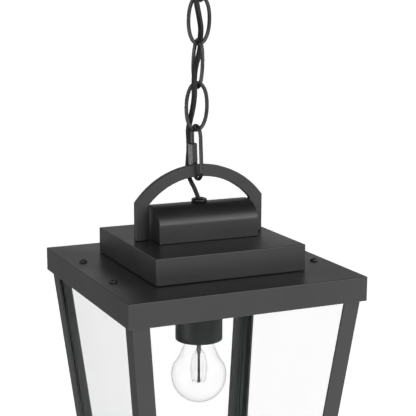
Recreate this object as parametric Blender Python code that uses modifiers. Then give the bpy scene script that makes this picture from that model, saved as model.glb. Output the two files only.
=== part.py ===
"""Hanging lantern: a two-step square roof under an arched handle, on a quick link and an oval
chain from a round ceiling canopy, with four tapered glass sides round one lamp.

Metres, +Z up. The origin is the centre of the canopy's rim, on the ceiling. X runs along the
roof's front edge and Y towards the back. Every lantern height is given from the top of the
lower roof step, which lies ROOF_DROP below the ceiling.
"""

import math

import bmesh
import bpy
from mathutils import Matrix, Vector

GAP = 0.0003
ROOF_DROP = 0.332
SHEET = 0.002

# Roof and handle
LOWER_WIDTH = 0.254
LOWER_HEIGHT = 0.025
UPPER_WIDTH = 0.1628
UPPER_TOP = 0.0276
HANDLE_THICK = 0.006
LEG_OUT = 0.0715
LEG_IN = 0.0568
OUTER_ARC = (0.0136, 0.0894)
INNER_ARC = (0.0153, 0.0753)
LEG_CORNER = 0.0672
HOOD_HALF_LENGTH = 0.0552
HOOD_HALF_DEPTH = 0.027
HOOD_SKIRT_TOP = 0.0456
HOOD_CROWN = 0.0638
HOOD_WALL = 0.0016
ROOF_SCREW_AT = (0.112, 0.0455)
HANDLE_SCREW_X = 0.064

# Glazed body
TAPER = 0.11
CORNER_AT_EAVES = 0.122
EAVES = -0.026
POST_TOP = -0.0056
POST_FOOT = -0.338
POST_FLANGE = 0.018
POST_THICK = 0.0025
GLASS_THICK = 0.003
GLASS_TOP = -0.0095
BODY_FOOT = -0.350
FRAME_HALF = 0.121
FRAME_OPENING_HALF = 0.096

# Quick link, chain and canopy
LINK_WIRE = 0.002
LINK_HALF_WIDTH = 0.0115
LINK_HALF_HEIGHT = 0.024
LINK_FULLNESS = 2.15
LINK_PITCH = 2 * (LINK_HALF_HEIGHT - LINK_WIRE) - GAP
QUICK_HALF_WIDTH = 0.0105
QUICK_FOOT = (-0.0018, 0.0, 0.0877)
QUICK_STRAIGHT = 0.0342
QUICK_LEAN = math.radians(-2.0)
QUICK_MOUTH = (0.0150, 0.0215)
SLEEVE_ACROSS = 0.0092
SLEEVE_FROM = 0.0134
SLEEVE_LENGTH = 0.0225
SLEEVE_TURN = math.radians(33)
LINK_COUNT = 3
LOOP_RADIUS = 0.015
LOOP_WIRE = 0.0022
CANOPY_RADIUS = 0.0635
CANOPY_DEPTH = 0.026
CROSSBAR_SIZE = (0.105, 0.016, 0.003)
CROSSBAR_SLOT_SIZE = (0.012, 0.005, 0.02)
CROSSBAR_SLOT_X = 0.033
LOCKNUT_FOOT = -0.0075
CORD_RADIUS = 0.0029

# Screws, nuts and threaded tubes
ROOF_SCREW_HEAD = 0.00415
SMALL_SCREW_HEAD = 0.0038
TUBE_RADIUS = 0.005
TUBE_BORE = 0.0033
TUBE_HOLE = 0.0053
TUBE_NUT = (0.015, TUBE_HOLE, 0.004)
GLAND_NUT = (0.014, TUBE_HOLE, 0.004)
GLAND_NUT_DROP = 0.005

# Lamp holder
STRAP_SIZE = (0.22, 0.024, 0.003)
STRAP_MIDDLE = -0.0074
STRAP_SCREW_X = 0.104
STRAP_SCREW_SEAT = -0.0092
STEM_NUT_FOOT = -0.0056
BULB_RADIUS = 0.030
BULB_MIDDLE = -0.124


def make_collection(name):
    made = bpy.data.collections.new(name)
    bpy.context.scene.collection.children.link(made)
    return made


for old in list(bpy.data.objects):
    bpy.data.objects.remove(old, do_unlink=True)

PARTS = make_collection("hanging_lantern")
CUTTERS = make_collection("cutters")
CUTTERS.hide_render = True


def material(name, colour, roughness, metallic, alpha=1.0):
    made = bpy.data.materials.new(name)
    made.use_nodes = True
    shader = made.node_tree.nodes["Principled BSDF"]
    shader.inputs["Base Color"].default_value = (*colour, 1.0)
    shader.inputs["Roughness"].default_value = roughness
    shader.inputs["Metallic"].default_value = metallic
    shader.inputs["Alpha"].default_value = alpha
    made.diffuse_color = (*colour, alpha)
    return made


BLACK = material("satin_black_powder_coat", (0.018, 0.018, 0.019), 0.42, 0.0)
ZINC = material("zinc_plated_steel", (0.55, 0.55, 0.56), 0.35, 1.0)
BRASS = material("lamp_brass", (0.68, 0.52, 0.26), 0.3, 1.0)
GLAZING = material("clear_glass", (0.93, 0.96, 0.95), 0.03, 0.0, 0.3)
CORD_JACKET = material("cord_jacket", (0.012, 0.012, 0.012), 0.55, 0.0)
RUBBER = material("gland_rubber", (0.015, 0.015, 0.015), 0.6, 0.0)
CERAMIC = material("socket_ceramic", (0.85, 0.84, 0.8), 0.25, 0.0)


def add_part(obj, name, finish, at=(0, 0, 0), turned_by=(0, 0, 0), parent=None, smooth=True):
    """Names obj as a piece of the lantern, gives it its finish and puts it in its place."""
    obj.name = obj.data.name = name
    obj.data.materials.clear()
    obj.data.materials.append(finish)
    for holder in list(obj.users_collection):
        holder.objects.unlink(obj)
    PARTS.objects.link(obj)
    obj.location = at
    obj.rotation_euler = turned_by
    obj.parent = parent
    if smooth and obj.type == "MESH":
        obj.data.shade_smooth()
        obj.data.set_sharp_from_angle(angle=math.radians(35))
    return obj


def anchor(name, at, turned_by=(0, 0, 0), parent=None):
    """An empty that stands for a joint or for an assembly's own frame."""
    made = bpy.data.objects.new(name, None)
    PARTS.objects.link(made)
    made.empty_display_size = 0.01
    made.location = at
    made.rotation_euler = turned_by
    made.parent = parent
    return made


def box(size, centre=(0, 0, 0), bevel=0.0):
    """A box of that size, with its edges rounded if bevel is given."""
    bpy.ops.mesh.primitive_cube_add(size=1.0)
    made = bpy.context.object
    made.data.transform(Matrix.Translation(centre) @ Matrix.Diagonal((*size, 1.0)))
    if bevel:
        rounded = made.modifiers.new("rounded_edges", "BEVEL")
        rounded.width = bevel
        rounded.segments = 2
    return made


def cylinder(radius, low, high, at=(0.0, 0.0), sides=24):
    """An upright cylinder between two heights."""
    bpy.ops.mesh.primitive_cylinder_add(vertices=sides, radius=radius, depth=high - low)
    made = bpy.context.object
    made.data.transform(Matrix.Translation((at[0], at[1], (low + high) / 2)))
    return made


def from_outline(outline, thickness):
    """A flat plate: a closed outline in X and Y, thickness deep in Z and centred on it."""
    curve = bpy.data.curves.new("outline", "CURVE")
    curve.dimensions = "2D"
    curve.fill_mode = "BOTH"
    curve.extrude = thickness / 2
    spline = curve.splines.new("POLY")
    spline.points.add(len(outline) - 1)
    for point, (x, y) in zip(spline.points, outline):
        point.co = (x, y, 0, 1)
    spline.use_cyclic_u = True
    return meshed(bpy.data.objects.new("outline", curve))


def meshed(source):
    """The mesh that a curve object makes, with its loose caps welded."""
    bpy.context.scene.collection.objects.link(source)
    graph = bpy.context.evaluated_depsgraph_get()
    mesh = bpy.data.meshes.new_from_object(source.evaluated_get(graph))
    made = bpy.data.objects.new(source.name, mesh)
    made.matrix_world = source.matrix_world
    bpy.data.objects.remove(source, do_unlink=True)
    bpy.context.scene.collection.objects.link(made)
    work = bmesh.new()
    work.from_mesh(mesh)
    bmesh.ops.remove_doubles(work, verts=work.verts, dist=1e-6)
    bmesh.ops.recalc_face_normals(work, faces=work.faces)
    work.to_mesh(mesh)
    work.free()
    return made


def tube(points, radius, closed=False):
    """A round wire along points, eight sides round."""
    curve = bpy.data.curves.new("wire", "CURVE")
    curve.dimensions = "3D"
    curve.bevel_depth = radius
    curve.bevel_resolution = 2
    curve.use_fill_caps = not closed
    spline = curve.splines.new("POLY")
    spline.points.add(len(points) - 1)
    for point, place in zip(spline.points, points):
        point.co = (*place, 1)
    spline.use_cyclic_u = closed
    return bpy.data.objects.new("wire", curve)


def turned(profile, steps=32):
    """A turned piece: profile is (radius, height) points down its outer side and back up its bore."""
    mesh = bpy.data.meshes.new("profile")
    work = bmesh.new()
    points = [work.verts.new((radius, 0, height)) for radius, height in profile]
    on_axis = profile[0][0] == 0 and profile[-1][0] == 0
    for first, second in zip(points, points[1:] + ([] if on_axis else points[:1])):
        work.edges.new((first, second))
    work.to_mesh(mesh)
    work.free()
    made = bpy.data.objects.new("profile", mesh)
    bpy.context.scene.collection.objects.link(made)
    spin = made.modifiers.new("turning", "SCREW")
    spin.steps = spin.render_steps = steps
    spin.use_merge_vertices = True
    spin.merge_threshold = 0.00001
    return meshed_modifiers(made)


def meshed_modifiers(source):
    """source as a plain mesh, with its modifiers applied."""
    graph = bpy.context.evaluated_depsgraph_get()
    mesh = bpy.data.meshes.new_from_object(source.evaluated_get(graph))
    made = bpy.data.objects.new(source.name, mesh)
    bpy.data.objects.remove(source, do_unlink=True)
    bpy.context.scene.collection.objects.link(made)
    return made


def cut(obj, cutter, operation="DIFFERENCE"):
    """Cuts cutter out of obj, or joins it on; cutter is in obj's own frame."""
    cutter.name = f"{obj.name}_{operation.lower()}"
    for holder in list(cutter.users_collection):
        holder.objects.unlink(cutter)
    CUTTERS.objects.link(cutter)
    cutter.hide_render = True
    cutter.display_type = "WIRE"
    boolean = obj.modifiers.new(cutter.name, "BOOLEAN")
    boolean.operation = operation
    boolean.object = cutter
    return obj


def apply_cuts(obj):
    """Applies obj's cuts while it still lies at the origin, and drops the cutters."""
    cutters = [m.object for m in obj.modifiers if m.type == "BOOLEAN"]
    made = meshed_modifiers(obj)
    for cutter in cutters:
        bpy.data.objects.remove(cutter, do_unlink=True)
    return made


def arc(centre, radius, start, end, count):
    """Points on an arc in a plane, from angle start to angle end, both in degrees."""
    angles = [math.radians(start + (end - start) * i / (count - 1)) for i in range(count)]
    return [(centre[0] + radius * math.cos(a), centre[1] + radius * math.sin(a)) for a in angles]


def through(points, spacing):
    """A smooth line through points, as points about spacing apart, by Catmull-Rom."""
    knots = [Vector(p) for p in points]
    knots = [2 * knots[0] - knots[1]] + knots + [2 * knots[-1] - knots[-2]]
    line = []
    for before, a, b, after in zip(knots, knots[1:], knots[2:], knots[3:]):
        steps = max(1, round((b - a).length / spacing))
        for i in range(steps):
            t = i / steps
            line.append(
                0.5 * (2 * a + (b - before) * t + (2 * before - 5 * a + 4 * b - after) * t * t
                       + (3 * a - before - 3 * b + after) * t ** 3)
            )
    return line + [knots[-2]]


def pan(width, height, top):
    """A square tray turned upside down: sheet sides and a flat top, open underneath."""
    shell = box((width, width, height), (0, 0, top - height / 2))
    inner = width - 2 * SHEET
    cut(shell, box((inner, inner, height), (0, 0, top - height / 2 - SHEET)))
    return shell


def square_ring(outer_half, inner_half, low, high):
    ring = box((2 * outer_half, 2 * outer_half, high - low), (0, 0, (low + high) / 2))
    hole = (2 * inner_half, 2 * inner_half, 2 * (high - low))
    return cut(ring, box(hole, (0, 0, (low + high) / 2)))


def hex_nut(across, bore, height):
    """A hexagonal nut on the Z axis, from its underside at 0 up to height."""
    nut = cylinder(across / math.sqrt(3), 0, height, sides=6)
    cut(nut, cylinder(bore, -height, 2 * height))
    return apply_cuts(nut)


def pan_screw(head, shank, length):
    """A pan-head screw: the head's flat underside is at 0 and the shank runs down."""
    dome = [(0, 0.62 * head), (0.4 * head, 0.58 * head), (0.75 * head, 0.44 * head),
            (0.95 * head, 0.22 * head), (head, GAP), (shank, GAP), (shank, -length), (0, -length)]
    return turned(dome, steps=16)


def corner_at(height):
    """Half the width of the glazed body, at a height."""
    return CORNER_AT_EAVES - TAPER * (EAVES - height)


lantern = anchor("lantern_frame", (0, 0, -ROOF_DROP))


def make_roof():
    """The lower and upper roof steps and the four screws that hold the lower one down."""
    lower = pan(LOWER_WIDTH, LOWER_HEIGHT, 0)
    cut(lower, cylinder(0.012, -0.01, 0.01))
    for sx in (-1, 1):
        for sy in (-1, 1):
            at = (sx * ROOF_SCREW_AT[0], sy * ROOF_SCREW_AT[1])
            cut(lower, cylinder(0.0023, -0.01, 0.01, at, sides=12))
    add_part(apply_cuts(lower), "roof_lower_step", BLACK, parent=lantern, smooth=False)

    upper = pan(UPPER_WIDTH, UPPER_TOP - GAP, UPPER_TOP)
    cut(upper, cylinder(0.005, 0.02, 0.04, sides=16))
    for sx in (-1, 1):
        cut(upper, cylinder(0.0022, 0.02, 0.04, (sx * HANDLE_SCREW_X, 0), sides=12))
    add_part(apply_cuts(upper), "roof_upper_step", BLACK, parent=lantern, smooth=False)

    places = [(sx, sy) for sy in (-1, 1) for sx in (-1, 1)]
    for number, (sx, sy) in enumerate(places, 1):
        at = (sx * ROOF_SCREW_AT[0], sy * ROOF_SCREW_AT[1], 0)
        add_part(pan_screw(ROOF_SCREW_HEAD, 0.002, 0.009), f"roof_screw_{number}", BLACK, at,
                 parent=lantern)


def make_handle():
    """The arched strap, and the two screws that come up through the roof into its legs."""
    foot = UPPER_TOP + GAP
    reach_out = math.degrees(math.asin((LEG_CORNER - OUTER_ARC[0]) / OUTER_ARC[1]))
    reach_in = math.degrees(math.acos(LEG_IN / INNER_ARC[1]))
    outline = [(LEG_OUT, foot)]
    outline += arc((0, OUTER_ARC[0]), OUTER_ARC[1], reach_out, 180 - reach_out, 25)
    outline += [(-LEG_OUT, foot), (-LEG_IN, foot)]
    outline += arc((0, INNER_ARC[0]), INNER_ARC[1], 180 - reach_in, reach_in, 25)
    outline += [(LEG_IN, foot)]
    strap = from_outline(outline, HANDLE_THICK)
    strap.data.transform(Matrix.Rotation(math.radians(90), 4, "X"))
    for sx in (-1, 1):
        cut(strap, cylinder(0.0021, 0.02, foot + 0.012, (sx * HANDLE_SCREW_X, 0), sides=12))
    add_part(apply_cuts(strap), "arch_handle", BLACK, parent=lantern)
    for number, sx in enumerate((-1, 1), 1):
        at = (sx * HANDLE_SCREW_X, 0, UPPER_TOP - SHEET - GAP)
        add_part(pan_screw(SMALL_SCREW_HEAD, 0.0019, 0.0125), f"handle_screw_{number}", ZINC, at,
                 (math.pi, 0, 0), parent=lantern)


def hood_outline(inset, foot, count):
    """The hood's end view: straight skirts under half an ellipse, inset from the outside."""
    half, rise = HOOD_HALF_DEPTH - inset, HOOD_CROWN - HOOD_SKIRT_TOP - inset
    angles = [math.pi * i / (count - 1) for i in range(count)]
    top = [(half * math.cos(a), HOOD_SKIRT_TOP + rise * math.sin(a)) for a in angles]
    return [(half, foot)] + top + [(-half, foot)]


def make_hood():
    """The barrel hood over the wiring hole, its two end plates, the cord gland and its nut."""
    foot = UPPER_TOP + GAP
    across = Matrix.Rotation(math.radians(90), 4, "Z") @ Matrix.Rotation(math.radians(90), 4, "X")
    outline = hood_outline(0, foot, 25) + hood_outline(HOOD_WALL, foot, 25)[::-1]
    shell = from_outline(outline, 2 * HOOD_HALF_LENGTH)
    shell.data.transform(across)
    cut(shell, cylinder(TUBE_HOLE, HOOD_CROWN - 0.006, HOOD_CROWN + 0.006, sides=20))
    add_part(apply_cuts(shell), "barrel_hood", BLACK, parent=lantern)
    for number, sx in enumerate((-1, 1), 1):
        plate = from_outline(hood_outline(HOOD_WALL + GAP, foot, 17), HOOD_WALL)
        plate.data.transform(Matrix.Translation((sx * (HOOD_HALF_LENGTH - HOOD_WALL), 0, 0)) @ across)
        add_part(plate, f"hood_end_{number}", BLACK, parent=lantern)
    seat = HOOD_CROWN + GAP
    gland = [(0.0048, seat + 0.0034), (0.0074, seat + 0.0031), (0.0082, seat + 0.0022),
             (0.0082, seat), (0.005, seat), (0.005, seat - 0.012), (0.0034, seat - 0.012),
             (0.0034, seat + 0.003)]
    add_part(turned(gland, 24), "cord_gland", RUBBER, parent=lantern)
    add_part(hex_nut(*GLAND_NUT), "gland_nut", BLACK,
             (0, 0, HOOD_CROWN - HOOD_WALL - GAP - GLAND_NUT_DROP), parent=lantern, smooth=False)


def make_body():
    """The top frame, four angle posts, four glass panels and the foot frame."""
    top = square_ring(FRAME_HALF, FRAME_OPENING_HALF, -0.0053, -0.0023)
    for sx in (-1, 1):
        for sy in (-1, 1):
            at = (sx * ROOF_SCREW_AT[0], sy * ROOF_SCREW_AT[1])
            cut(top, cylinder(0.0023, -0.01, 0.01, at, sides=12))
        cut(top, cylinder(0.0019, -0.01, 0.01, (sx * STRAP_SCREW_X, 0), sides=12))
    add_part(apply_cuts(top), "top_frame", BLACK, parent=lantern, smooth=False)

    height = POST_TOP - POST_FOOT
    middle = (POST_TOP + POST_FOOT) / 2
    slant = Matrix.Identity(4)
    slant[0][2] = slant[1][2] = TAPER
    angle = [(0, 0), (-POST_FLANGE, 0), (-POST_FLANGE, -POST_THICK), (-POST_THICK, -POST_THICK),
             (-POST_THICK, -POST_FLANGE), (0, -POST_FLANGE)]
    for number in range(4):
        post = from_outline(angle, height)
        centre = (corner_at(middle), corner_at(middle), middle)
        post.data.transform(Matrix.Translation(centre) @ slant)
        post.data.transform(Matrix.Rotation(math.radians(90 * number), 4, "Z"))
        add_part(post, f"corner_post_{number + 1}", BLACK, parent=lantern, smooth=False)

    lean = Matrix.Identity(4)
    lean[1][2] = -TAPER
    inset = POST_THICK + GLASS_THICK / 2 + GAP
    foot = POST_FOOT + GAP
    tall = GLASS_TOP - foot
    centre = (GLASS_TOP + foot) / 2
    side = [corner_at(z) - POST_THICK - GLASS_THICK - 0.001 for z in (GLASS_TOP, foot)]
    pane = [(side[0], tall / 2), (-side[0], tall / 2), (-side[1], -tall / 2), (side[1], -tall / 2)]
    for number, name in enumerate(("front", "right", "back", "left")):
        panel = from_outline(pane, GLASS_THICK)
        panel.data.transform(Matrix.Rotation(math.radians(90), 4, "X"))
        panel.data.transform(Matrix.Translation((0, -corner_at(centre) + inset, centre)) @ lean)
        panel.data.transform(Matrix.Rotation(math.radians(90 * number), 4, "Z"))
        add_part(panel, f"glass_{name}", GLAZING, parent=lantern, smooth=False)

    half = corner_at(POST_FOOT)
    add_part(apply_cuts(square_ring(half, half - 0.016, BODY_FOOT, POST_FOOT - GAP)),
             "foot_frame", BLACK, parent=lantern, smooth=False)


def make_lamp_holder():
    """The strap across the roof frame, the threaded stem, the socket cup, the socket and lamp."""
    strap = box(STRAP_SIZE, (0, 0, STRAP_MIDDLE))
    cut(strap, cylinder(TUBE_HOLE, -0.02, 0.02, sides=20))
    for sx in (-1, 1):
        cut(strap, cylinder(0.0022, -0.02, 0.02, (sx * STRAP_SCREW_X, 0), sides=12))
    add_part(apply_cuts(strap), "socket_strap", ZINC, parent=lantern, smooth=False)
    for number, sx in enumerate((-1, 1), 1):
        add_part(pan_screw(SMALL_SCREW_HEAD, 0.0017, 0.0055), f"strap_screw_{number}", ZINC,
                 (sx * STRAP_SCREW_X, 0, STRAP_SCREW_SEAT), (math.pi, 0, 0), parent=lantern)
    stem = [(TUBE_RADIUS, 0.003), (TUBE_RADIUS, -0.03), (TUBE_BORE, -0.03), (TUBE_BORE, 0.003)]
    add_part(turned(stem, 20), "stem", ZINC, parent=lantern)
    add_part(hex_nut(*TUBE_NUT), "stem_nut", ZINC, (0, 0, STEM_NUT_FOOT), parent=lantern,
             smooth=False)
    cup = [(0.0053, -0.018), (0.02, -0.018), (0.0237, -0.0193), (0.025, -0.023), (0.025, -0.084),
           (0.0234, -0.084), (0.0234, -0.0235), (0.0228, -0.0206), (0.0195, -0.0196),
           (0.0053, -0.0196)]
    add_part(turned(cup, 32), "socket_cup", BLACK, parent=lantern)
    holder = [(0.0053, -0.0205), (0.0125, -0.0205), (0.0165, -0.031), (0.019, -0.036),
              (0.019, -0.077), (0.0138, -0.077), (0.0138, -0.0405), (0.0053, -0.0405)]
    add_part(turned(holder, 28), "lamp_socket", CERAMIC, parent=lantern)
    base = [(0, -0.0425), (0.005, -0.0425), (0.0065, -0.046), (0.013, -0.048), (0.0133, -0.0715),
            (0.0128, -0.0735), (0, -0.0735)]
    add_part(turned(base, 24), "lamp_base", BRASS, (0, 0, 0), parent=lantern)
    bulb = [(0, -0.0738), (0.0127, -0.0738), (0.0133, -0.080), (0.0165, -0.092), (0.023, -0.107)]
    bulb += [(BULB_RADIUS * math.cos(a), BULB_MIDDLE - BULB_RADIUS * math.sin(a))
             for a in [math.radians(d) for d in range(-24, 91, 14)]]
    bulb[-1] = (0, BULB_MIDDLE - BULB_RADIUS)
    add_part(turned(bulb, 28), "lamp_bulb", GLAZING, (0, 0, 0), parent=lantern)
    lead = [(0, 0, z) for z in (0.0505, 0.03, 0.01, -0.01, -0.039)]
    add_part(tube(lead, CORD_RADIUS), "inner_lead", CORD_JACKET, parent=lantern)


def link_line(count):
    """The centreline of a chain link in X and Z, a little fuller than an ellipse."""
    points = []
    for i in range(count):
        a = 2 * math.pi * i / count
        c, s = math.cos(a), math.sin(a)
        power = 2 / LINK_FULLNESS
        points.append((LINK_HALF_WIDTH * math.copysign(abs(c) ** power, c), 0,
                       LINK_HALF_HEIGHT * math.copysign(abs(s) ** power, s)))
    return points


def make_quick_link():
    """The wire quick link under the handle's band and its sleeve nut, both leaning together."""
    frame = anchor("quick_link_frame", QUICK_FOOT, (0, QUICK_LEAN, 0), lantern)
    half, straight = QUICK_HALF_WIDTH, QUICK_STRAIGHT
    foot = arc((0, half), half, 180, 360, 11)
    head = arc((0, half + straight), half, 0, 180, 11)
    rising = [(half, half + 0.25 * straight * i) for i in (1, 2, 3)]
    line = [(-half, QUICK_MOUTH[1])] + head[::-1] + rising[::-1] + foot[::-1]
    line += [(-half, QUICK_MOUTH[0])]
    # The wire's free ends stand apart inside the sleeve, on the side towards the back.
    wire = tube([(0, -y, z) for y, z in line], LINK_WIRE)
    add_part(wire, "quick_link", BLACK, parent=frame)
    add_part(hex_nut(SLEEVE_ACROSS, LINK_WIRE + GAP, SLEEVE_LENGTH), "quick_link_sleeve", BLACK,
             (0, half, SLEEVE_FROM), (0, 0, SLEEVE_TURN), frame, smooth=False)


def chain_line():
    """Where the chain's lowest wire and its highest wire have their middles."""
    lift = 2 * QUICK_HALF_WIDTH + QUICK_STRAIGHT
    start = Vector(QUICK_FOOT) + Vector((math.sin(QUICK_LEAN), 0, math.cos(QUICK_LEAN))) * lift
    start.z -= 2 * LINK_WIRE + GAP
    length = 2 * LINK_HALF_HEIGHT + (LINK_COUNT - 1) * LINK_PITCH
    return start, Vector((0, 0, start.z + math.sqrt(length ** 2 - start.x ** 2)))


def make_chain():
    """Oval links, every second one a quarter turn round, in a line from the quick link up."""
    start, end = chain_line()
    run = (end - start).normalized()
    lean = Matrix.Rotation(math.atan2(run.x, run.z), 4, "Y")
    for number in range(LINK_COUNT):
        centre = start + run * (LINK_HALF_HEIGHT + number * LINK_PITCH)
        quarter = Matrix.Rotation(math.radians(90 * (number % 2)), 4, "Z")
        link = tube(link_line(28), LINK_WIRE, closed=True)
        add_part(link, f"chain_link_{number + 1}", BLACK, parent=lantern)
        link.matrix_basis = Matrix.Translation(centre) @ lean @ quarter


def make_canopy():
    """The ceiling canopy, its threaded loop and collar, and the crossbar that carries them."""
    rim, depth = CANOPY_RADIUS, CANOPY_DEPTH
    outer = [(rim, 0), (rim, -0.004), (0.061, -0.0075), (0.052, -0.0145), (0.040, -0.021),
             (0.027, -0.0252), (0.0180, -depth)]
    inner = [(r - (SHEET if r > 0.03 else 0), min(0.0, z + 0.0018)) for r, z in outer]
    inner[0] = (rim - SHEET, 0)
    inner[1] = (rim - SHEET, -0.0035)
    add_part(turned(outer + inner[::-1], 40), "ceiling_canopy", BLACK)
    collar = [(0.0218, -depth - GAP), (0.0223, -depth - 0.0015), (0.0223, -depth - 0.0065),
              (0.0213, -depth - 0.0078), (0.0177, -depth - 0.0078), (0.0177, -depth - GAP)]
    add_part(turned(collar, 32), "canopy_collar", BLACK)
    bar = box(CROSSBAR_SIZE, (0, 0, -CROSSBAR_SIZE[2] / 2))
    cut(bar, cylinder(TUBE_HOLE, -0.02, 0.02, sides=20))
    for sx in (-1, 1):
        cut(bar, box(CROSSBAR_SLOT_SIZE, (sx * CROSSBAR_SLOT_X, 0, 0)))
    add_part(apply_cuts(bar), "mounting_crossbar", ZINC, smooth=False)
    nipple = [(TUBE_RADIUS, -GAP), (TUBE_RADIUS, -0.022), (TUBE_BORE, -0.022), (TUBE_BORE, -GAP)]
    add_part(turned(nipple, 20), "canopy_nipple", ZINC)
    add_part(hex_nut(*TUBE_NUT), "nipple_locknut", ZINC, (0, 0, LOCKNUT_FOOT), smooth=False)

    hub = turned([(0.0172, -0.0225), (0.0172, -0.0345), (0.0140, -0.0365), (0.0036, -0.0365),
                  (0.0036, -0.0225)], 28)
    top_wire = chain_line()[1].z - ROOF_DROP
    centre = top_wire - LINK_WIRE - LOOP_WIRE - GAP + LOOP_RADIUS
    ring = [(0, y, z) for y, z in arc((0, centre), LOOP_RADIUS, 128, 412, 25)]
    cut(hub, meshed(tube(ring, LOOP_WIRE)), "UNION")
    add_part(apply_cuts(hub), "canopy_loop", BLACK)


# The cord leaves the gland, passes behind the handle and the sleeve and weaves up through the
# chain into the loop's hub. It is parted half way up each link, where one stretch meets the next.
CORD_ROUTE = [
    (0, 0, 0.0560), (0, 0, 0.0640), (-0.0004, 0.0004, 0.0700), (-0.0028, 0.0038, 0.0790),
    (-0.0054, 0.0102, 0.0862), (-0.0058, 0.0174, 0.0945), (-0.0042, 0.0205, 0.1050),
    (-0.0030, 0.0208, 0.1160), (-0.0024, 0.0200, 0.1260), (-0.0036, 0.0170, 0.1345),
    (-0.0063, 0.0118, 0.1418), (-0.0074, 0.0058, 0.1490), (-0.0075, 0.0018, 0.1560),
    (-0.0073, -0.0012, 0.1640), (-0.0076, -0.0042, 0.1720), (-0.0085, -0.0068, 0.1800),
    (-0.0088, -0.0070, 0.1880), (-0.0072, -0.0046, 0.1975), (-0.0036, -0.0008, 0.2065),
    (-0.0002, 0.0022, 0.2130), (0.0036, 0.0062, 0.2215), (0.0044, 0.0078, 0.2300),
    (0.0032, 0.0040, 0.2410), (-0.0006, -0.0012, 0.2510), (-0.0042, -0.0056, 0.2590),
    (-0.0064, -0.0072, 0.2665), (-0.0064, -0.0052, 0.2740), (-0.0030, -0.0016, 0.2830),
    (0, 0, 0.2920), (0, 0, 0.3000), (0, 0, 0.3120),
]
CORD_PARTINGS = (0.1160, 0.1640, 0.2065, 0.2510)


def cord_stretches():
    """The cord's line, parted at each height by a gap square across it."""
    line = through(CORD_ROUTE, 0.006)
    stretches, current = [], [line[0]]
    partings = list(CORD_PARTINGS)
    for a, b in zip(line, line[1:]):
        if partings and b.z > partings[0]:
            middle, half_gap = (a + b) / 2, (b - a).normalized() * GAP / 2
            stretches.append(current + [middle - half_gap])
            current = [middle + half_gap]
            partings.pop(0)
        current.append(b)
    return stretches + [current]


def make_cord():
    for number, stretch in enumerate(cord_stretches(), 1):
        add_part(tube(stretch, CORD_RADIUS), f"cord_{number}", CORD_JACKET, parent=lantern)


make_roof()
make_handle()
make_hood()
make_body()
make_lamp_holder()
make_quick_link()
make_chain()
make_canopy()
make_cord()
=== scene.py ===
import math

import bmesh
import bpy
from mathutils import Matrix, Vector


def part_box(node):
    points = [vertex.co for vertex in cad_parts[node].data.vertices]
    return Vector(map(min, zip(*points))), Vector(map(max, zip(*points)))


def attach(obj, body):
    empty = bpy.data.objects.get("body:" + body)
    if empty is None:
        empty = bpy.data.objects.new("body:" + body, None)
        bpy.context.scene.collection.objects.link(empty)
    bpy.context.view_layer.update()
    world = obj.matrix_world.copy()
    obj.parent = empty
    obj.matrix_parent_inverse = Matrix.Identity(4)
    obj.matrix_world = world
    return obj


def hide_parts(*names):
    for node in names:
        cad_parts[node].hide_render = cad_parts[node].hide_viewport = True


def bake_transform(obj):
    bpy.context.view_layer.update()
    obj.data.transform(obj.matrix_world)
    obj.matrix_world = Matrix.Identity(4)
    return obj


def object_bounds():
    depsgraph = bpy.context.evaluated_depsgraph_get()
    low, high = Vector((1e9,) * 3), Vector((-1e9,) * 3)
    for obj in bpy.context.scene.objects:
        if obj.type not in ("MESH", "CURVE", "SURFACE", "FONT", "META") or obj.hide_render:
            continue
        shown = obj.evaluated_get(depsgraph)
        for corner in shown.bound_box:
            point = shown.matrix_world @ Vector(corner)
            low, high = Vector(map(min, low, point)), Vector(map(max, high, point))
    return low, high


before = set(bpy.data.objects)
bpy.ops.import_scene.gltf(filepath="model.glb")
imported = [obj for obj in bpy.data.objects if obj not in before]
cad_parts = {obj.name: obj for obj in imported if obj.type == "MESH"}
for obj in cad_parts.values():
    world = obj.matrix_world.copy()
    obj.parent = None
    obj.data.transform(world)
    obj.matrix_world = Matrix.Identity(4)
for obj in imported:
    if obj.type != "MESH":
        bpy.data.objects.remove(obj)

cad_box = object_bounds()

# The lantern hangs a little below the eye and is turned so that its front and left sides show.
# The lens is a 100 mm portrait lens, aimed just above the top of the lower roof step. Heights on
# the lantern are taken from that top, at roof_top.
roof_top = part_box("roof_lower_step")[1][2]
view_turn, view_drop, view_roll = -0.42991, 0.19045, 0.00378
view_distance, aim_right, aim_up = 1.21256, 0.00938, 0.05578
camera_back = Vector((math.sin(view_turn) * math.cos(view_drop),
                      -math.cos(view_turn) * math.cos(view_drop), math.sin(view_drop)))
level_right = Vector((math.cos(view_turn), math.sin(view_turn), 0))
level_up = camera_back.cross(level_right)
camera_right = math.cos(view_roll) * level_right + math.sin(view_roll) * level_up
camera_up = math.cos(view_roll) * level_up - math.sin(view_roll) * level_right
camera_data = bpy.data.cameras.new("camera")
camera_data.lens = 100.13
camera_data.sensor_width = 36
camera = bpy.data.objects.new("camera", camera_data)
bpy.context.scene.collection.objects.link(camera)
camera_place = Vector((0, 0, roof_top)) + view_distance * camera_back
camera_place += aim_right * camera_right + aim_up * camera_up
camera_turn = Matrix((camera_right, camera_up, camera_back)).transposed().to_4x4()
camera.matrix_world = Matrix.Translation(camera_place) @ camera_turn
bpy.context.scene.camera = camera
bpy.context.scene.view_settings.view_transform = "Standard"

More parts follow.
